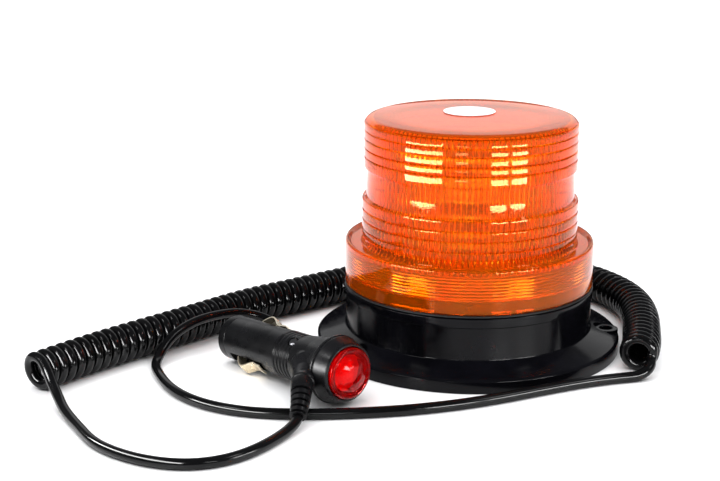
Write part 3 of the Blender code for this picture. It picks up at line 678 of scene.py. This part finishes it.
def make_plug_caps(finishes, at):
    """Tip cap that screws into the barrel, and the bezel round the button."""
    tip_z, seat_z, cap_end = -2.6, 3.1, 6.6
    thread_r = BORE_R - 0.3
    cap = [(9.4, seat_z, 0), (10.5, seat_z, 0.25), (10.6, -1.2, 1.2), (9.2, tip_z, 0.8),
           (3.6, tip_z, 0.3), (3.6, 0.0, 0), (5.4, 0.4, 0), (5.4, cap_end, 0),
           (thread_r, cap_end, 0), (thread_r, seat_z, 0)]
    bezel_r, bezel_in, bezel_start = HEAD_R - 0.4, BUTTON_R + 0.5, HEAD_END + 0.3
    bezel = [(12.7, BEZEL_END, 0.3), (13.4, BEZEL_END - 0.9, 0.4), (bezel_r, HEAD_END + 1.2, 0.4),
             (bezel_r, bezel_start, 0.1), (bezel_in, bezel_start, 0), (bezel_in, BEZEL_END, 0.15)]
    pieces = []
    for name, corners, node in (("plug_tip_ring", cap, "plug_tip_cap"),
                                ("plug_bezel_ring", bezel, "plug_bezel")):
        points, faces = turn(rounded(corners), 96)
        pieces.append(piece(name, moved(points, at), faces, finishes["plug_plastic"], "plug_plastic",
                            "beacon", (node,)))
    return pieces


def make_button(finishes, at):
    """Red cap with a rolled rim, a groove inside it and a low dome in its middle."""
    top = BUTTON_END
    skirt_in = 9.6
    outline = rounded([(0.0, top, 0), (4.0, top - 0.2, 3.0), (7.2, top - 1.2, 2.0), (8.8, top - 3.0, 0.5),
                       (9.4, top - 3.4, 0.3), (9.9, top - 2.7, 0.4), (10.7, top - 2.4, 0.6),
                       (BUTTON_R, top - 3.2, 0.6), (BUTTON_R, BUTTON_START, 0.2),
                       (skirt_in, BUTTON_START, 0.2), (skirt_in, top - 5.0, 0.6),
                       (7.0, top - 4.0, 0.8), (0.0, top - 2.6, 0)])
    points, faces = turn(outline, 96)
    return piece("red_button", moved(points, at), faces, finishes["red_lens"], "red_lens", "switch",
                 ("switch_button",))


def make_lamp(finishes, at):
    """Faceted lamp under the red cap, on the switch's core."""
    lamp_start, facets, waviness, lobes = 79.2, 14, 0.7, 5
    outline = [(0.0, 81.6), (2.2, 81.3), (4.2, 80.5), (5.4, lamp_start), (0.0, lamp_start)]
    points, faces = turn(outline, facets, lambda i, angle: waviness * sin(lobes * angle + 2 * i))
    piece("button_lamp", moved(points, at), faces, finishes["lamp_glow"], None, "beacon", sharp=10.0)


def make_boot(finishes):
    """Bend relief with stepped ribs, thinner towards the cord."""
    step, smooth_stretch, pitch, rib_width = 0.25, 3.2, 2.9, 1.9
    thick_r, taper, rib_depth = 5.1, 1.4, 1.2
    path = smooth_curve(BOOT_ROUTE, step)
    last = len(path) - 1

    def section(i):
        beyond = i * step - smooth_stretch
        radius = thick_r - taper * i / last
        if beyond > 0 and beyond % pitch > rib_width:
            radius -= rib_depth
        return ring_section(radius, 32)

    points, faces = sweep(path, section)
    return piece("ribbed_boot", points * MM, faces, finishes["plug_plastic"], "plug_plastic", "beacon",
                 ("plug_boot",))


def make_contact(finishes, at, side, angle):
    """Leaf from a flat foot over its bowed crown to a turned-up heel, rounded across its width."""
    thickness, half_width, edge_drop = 0.6, 3.2, 0.25
    foot, crown, heel = 7.4, 14.6, 11.4
    start, middle, end = 11.0, 18.5, 25.5
    rise_steps, fall_steps = 14, 12
    spots = [(7.5, foot - 0.8), (9.5, foot - 0.4)]
    for k in range(rise_steps + 1):
        t = k / rise_steps
        spots.append((start + (middle - start) * t, foot + (crown - foot) * sin(pi / 2 * t)))
    for k in range(1, fall_steps + 1):
        t = k / fall_steps
        spots.append((middle + (end - middle) * t, heel + (crown - heel) * (1 + cos(pi * t)) / 2))
    spots += [(28.0, heel + 0.5), (30.5, heel + 0.6)]

    # the leaf's two faces, row by row along it
    widths = np.linspace(-half_width, half_width, 7)
    points, faces = [], []
    for lift in (0.0, -thickness):
        for s, r in spots:
            for y in widths:
                points.append((r + lift - edge_drop * (y / half_width) ** 2, y, s))
    across, rows = len(widths), len(spots)
    shift = across * rows
    for i in range(rows - 1):
        for k in range(across - 1):
            a = i * across + k
            faces.append((a, a + 1, a + across + 1, a + across))
            b = a + shift
            faces.append((b, b + across, b + across + 1, b + 1))

    # its narrow edges, round the rim
    last_row = (rows - 1) * across
    rim = list(range(across))
    rim += [i * across + across - 1 for i in range(1, rows)]
    rim += [last_row + k for k in range(across - 2, -1, -1)]
    rim += [i * across for i in range(rows - 2, 0, -1)]
    for a, b in zip(rim, rim[1:] + rim[:1]):
        faces.append((b, a, a + shift, b + shift))
    return piece(f"contact_leaf_{side}", moved(points, at @ spin(angle)), faces, finishes["nickel"],
                 "nickel", f"contact_{side}", (f"contact_spring_{side}",))


def make_relief(finishes):
    """Strain relief through the base's wall, along the cord's way out."""
    at = Matrix.Translation((0.0, 0.0, EXIT_Z)) @ spin(EXIT_AZIMUTH) @ spin(90.0, "Y")
    corners = [(0.0, RELIEF_END_R, 0), (2.9, RELIEF_END_R, 0.2), (3.3, 80.0, 0.3), (3.4, 75.3, 0.2),
               (3.1, 75.0, 0.1), (3.1, 57.9, 0.1), (3.5, 57.5, 0.2), (3.5, RELIEF_START_R, 0.2),
               (0.0, RELIEF_START_R, 0)]
    points, faces = turn(rounded(corners), 32)
    return piece("cord_relief", moved(points, at), faces, finishes["rubber"], "rubber", "beacon",
                 ("cable_relief",))


# ------------------------------------------------------ the other CAD nodes
def finish_the_rest(finishes):
    """Finishes for the CAD nodes that stay as they are."""
    slots = {
        "rubber": ["rubber_pad"],
        "ferrite": ["magnet_ring"],
        "zinc_steel": ["magnet_yoke", "yoke_screw_1", "yoke_screw_2", "yoke_screw_3", "tower_screw",
                       "pin_spring"],
        # the housing screw gets the near-black steel, which is painted shade for its recess
        "shade_darkened_steel": ["plug_screw"],
        "circuit_board": ["main_board", "top_board"] + [f"led_board_{i}" for i in range(1, 7)],
        "white_plastic": ["board_spacer_1", "board_spacer_2", "board_spacer_3", "switch_core"],
        "component_case": ["capacitor_1", "capacitor_2", "inductor", "terminal_block"],
        "aluminium": ["led_tower"],
        "nickel": ["tip_contact"],
        "fuse_glass": ["fuse"],
    }
    for slot, nodes in slots.items():
        for node in nodes:
            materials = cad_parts[node].data.materials
            materials.clear()
            materials.append(finishes[slot])


def make_leds(finish):
    """Rows of square LED chips on the six upright boards."""
    boards, rows, half = 6, 7, 2.5
    first_azimuth, lowest_z, pitch = 30.0, 44.0, 8.0
    chips = []
    for board in range(boards):
        facing = spin(first_azimuth + 360.0 / boards * board)
        for row in range(rows):
            z = lowest_z + pitch * row
            for y in (-4.4, 4.4):
                points, faces = block_mesh((21.1, 22.2), (y - half, y + half), (z - half, z + half))
                chips.append((moved(points, facing), faces))
    piece("led_chips", *joined(chips), finish)


# ------------------------------------------------------------------- studio
def make_floor():
    half = 4.0
    corners = [(-half, -half, 0), (half, -half, 0), (half, half, 0), (-half, half, 0)]
    floor = mesh_object("floor", corners, [(0, 1, 2, 3)])
    floor.data.materials.append(finish_of("floor_paper", (0.86, 0.86, 0.87), (0.88, 0.88, 0.89), 0.5,
                                          cloud=3.0, bump=0.0))


def make_world():
    world = bpy.data.worlds.new("studio")
    bpy.context.scene.world = world
    world.use_nodes = True
    background = world.node_tree.nodes["Background"]
    background.inputs["Color"].default_value = (0.96, 0.98, 1.0, 1.0)
    background.inputs["Strength"].default_value = 0.16


def area_light(name, place, aim, size, power):
    """Rectangular light at a place in metres, turned towards aim."""
    light = bpy.data.lights.new(name, "AREA")
    light.shape = "RECTANGLE"
    light.size, light.size_y = size
    light.energy = power
    item = linked(name, light)
    item.location = place
    item.rotation_euler = (Vector(aim) - Vector(place)).to_track_quat("-Z", "Y").to_euler()
    return item


def reflection_card(name, place, aim, size, power):
    """Light that shows only in reflections and through clear plastic."""
    card = area_light(name, place, aim, size, power)
    card.visible_camera = False
    card.visible_diffuse = False


def outward(azimuth):
    """Level direction from the beacon's axis; an azimuth of 0 is the front, positive to the right."""
    return Vector((sin(radians(azimuth)), -cos(radians(azimuth)), 0.0))


def make_lights():
    ceiling = area_light("ceiling", (0.0, 0.6, 2.4), (0.0, 0.6, 0.0), (7.0, 7.0), 370)
    ceiling.visible_glossy = False
    beacon_middle = (0, 0, 0.05)
    area_light("key", (-0.9, -0.5, 1.3), beacon_middle, (0.4, 0.25), 4)
    area_light("fill", (1.0, -0.3, 1.2), beacon_middle, (0.3, 0.25), 2.5)

    # low cards that show as bright bars in the dome's ribs: the dome mirrors each towards the front
    # at half the card's azimuth
    distance = 200.0
    for name, azimuth, width, low, high, power in (
            ("card_left", -51.0, 0.178, 40.0, 66.0, 0.8),
            ("card_right_1", 31.0, 0.07, 40.0, 66.0, 0.3),
            ("card_right_2", 53.0, 0.07, 40.0, 66.0, 0.3),
            ("card_middle", -9.0, 0.05, 54.0, 66.0, 0.03)):
        facing = outward(azimuth)
        height = Vector((0.0, 0.0, (low + high) / 2))
        middle = (outward(azimuth / 2) * DOME_R + facing * distance + height) * MM
        reflection_card(name, middle, middle - facing, (width, (high - low) * MM), power)
    reflection_card("card_back", (0.05, 0.42, 0.24), (0.05, 0.0, 0.12), (1.0, 0.2), 0.5)


make_camera()
finishes = make_finishes()
cord, cord_path = make_cord(finishes)
make_dome(finishes)
make_sticker(finishes)
make_base(finishes)
make_gasket(finishes)
plug_at = plug_matrix()
plug_body = make_plug_housing(finishes, plug_at)
caps = make_plug_caps(finishes, plug_at)
button = make_button(finishes, plug_at)
make_lamp(finishes, plug_at)
boot = make_boot(finishes)
leaves = [make_contact(finishes, plug_at, side, angle) for side, angle in CONTACT_ANGLES.items()]
relief = make_relief(finishes)
finish_the_rest(finishes)
make_leds(make_led_finish())
make_floor()
make_world()
make_lights()
bpy.context.scene.view_settings.view_transform = "Standard"
